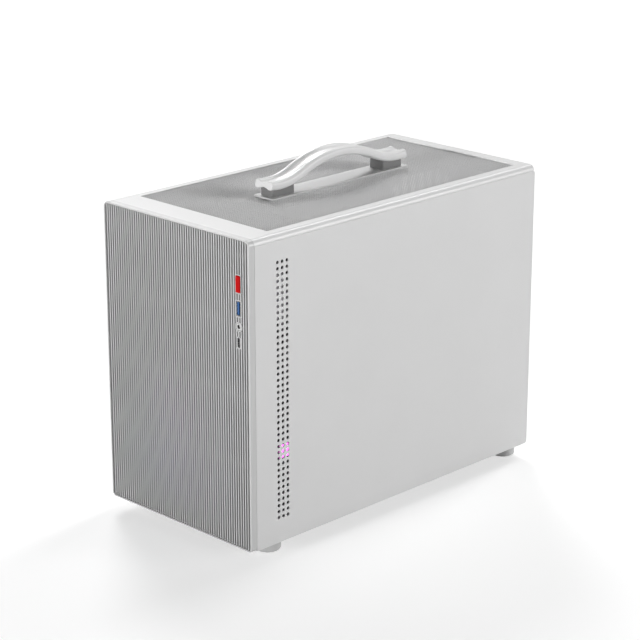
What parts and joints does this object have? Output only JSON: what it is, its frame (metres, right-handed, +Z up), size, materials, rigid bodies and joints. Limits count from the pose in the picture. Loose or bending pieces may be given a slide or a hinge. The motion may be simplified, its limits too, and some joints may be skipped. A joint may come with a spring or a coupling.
{
  "type": "micro-atx computer case",
  "caption": "Small white steel tower case for a micro-ATX computer, with a ribbed front, mesh top, side vents, lit fan and arched carrying handle.",
  "frame": {"origin": "middle of the case's footprint, on the surface that the feet stand on", "axes": "+X to the right as the front is faced, +Y from the front to the rear, +Z up"},
  "size_m": [0.186, 0.37, 0.3243],
  "materials": {
    "white_shell": "fine matt powder coat",
    "white_mesh": "matt powder coat on perforated sheet",
    "white_front": "satin moulded",
    "white_frame": "matt powder coat",
    "dark_frame": "matt powder coat",
    "white_grip": "satin moulded",
    "grey_post": "matt moulded",
    "pale_strip": "matt moulded",
    "foot_plastic": "matt moulded",
    "clip_plastic": "moulded",
    "zinc": "zinc plated",
    "standoff_brass": "turned",
    "black_plastic": "moulded",
    "inlet_blades": "nickel plated",
    "ring_light": "lit diffuser",
    "carrier_plastic": "moulded",
    "board_green": "solder mask",
    "red_button": "satin moulded",
    "socket_steel": "nickel plated",
    "blue_tongue": "moulded",
    "dark_tongue": "moulded"
  },
  "bodies": {
    "chassis": {"top_cover": "white_shell", "top_mesh": "white_mesh", "base_pan": "white_frame", "rear_panel": "white_frame", "slot_covers": "white_frame", "front_wall": "dark_frame", "top_frame": "dark_frame", "board_tray": "dark_frame", "fan_wall": "dark_frame", "handle_rail": "dark_frame", "handle": "white_grip", "handle_posts": "grey_post", "handle_strip": "pale_strip", "feet": "foot_plastic", "panel_sockets": "clip_plastic", "foot_screws": "zinc", "handle_screws": "zinc", "fan_screws": "zinc", "io_screws": "zinc", "inlet_screws": "zinc", "slot_thumbscrews": "zinc", "board_standoffs": "standoff_brass", "mains_inlet": "black_plastic", "fan_frame": "black_plastic", "power_switch": "black_plastic", "inlet_pins": "inlet_blades", "fan_light_ring": "ring_light", "io_carrier": "carrier_plastic", "audio_jack": "carrier_plastic", "io_board": "board_green", "usb_shell": "socket_steel", "slim_shell": "socket_steel", "usb_tongue": "blue_tongue", "slim_tongue": "dark_tongue"},
    "front": {"front_panel": "white_front", "front_clips": "clip_plastic"},
    "right_side": {"right_panel": "white_shell", "right_panel_studs": "zinc"},
    "left_side": {"left_panel": "white_shell", "left_panel_studs": "zinc"},
    "fan": {"fan_rotor": "black_plastic"},
    "button": {"power_button": "red_button"}
  },
  "joints": [
    {"name": "front_pull", "type": "slide", "parent": "chassis", "child": "front", "axis": [0, -1, 0], "range_m": [0, 0.06]},
    {"name": "right_pull", "type": "slide", "parent": "chassis", "child": "right_side", "axis": [1, 0, 0], "range_m": [0, 0.06]},
    {"name": "left_pull", "type": "slide", "parent": "chassis", "child": "left_side", "axis": [-1, 0, 0], "range_m": [0, 0.06]},
    {"name": "fan_spin", "type": "hinge", "parent": "chassis", "child": "fan", "pos_m": [0, -0.117, 0.079], "axis": [0, 1, 0], "continuous": true},
    {"name": "power_press", "type": "slide", "parent": "chassis", "child": "button", "axis": [0, 1, 0], "range_m": [0, 0.001], "stiffness_N_per_m": 1500}
  ]
}
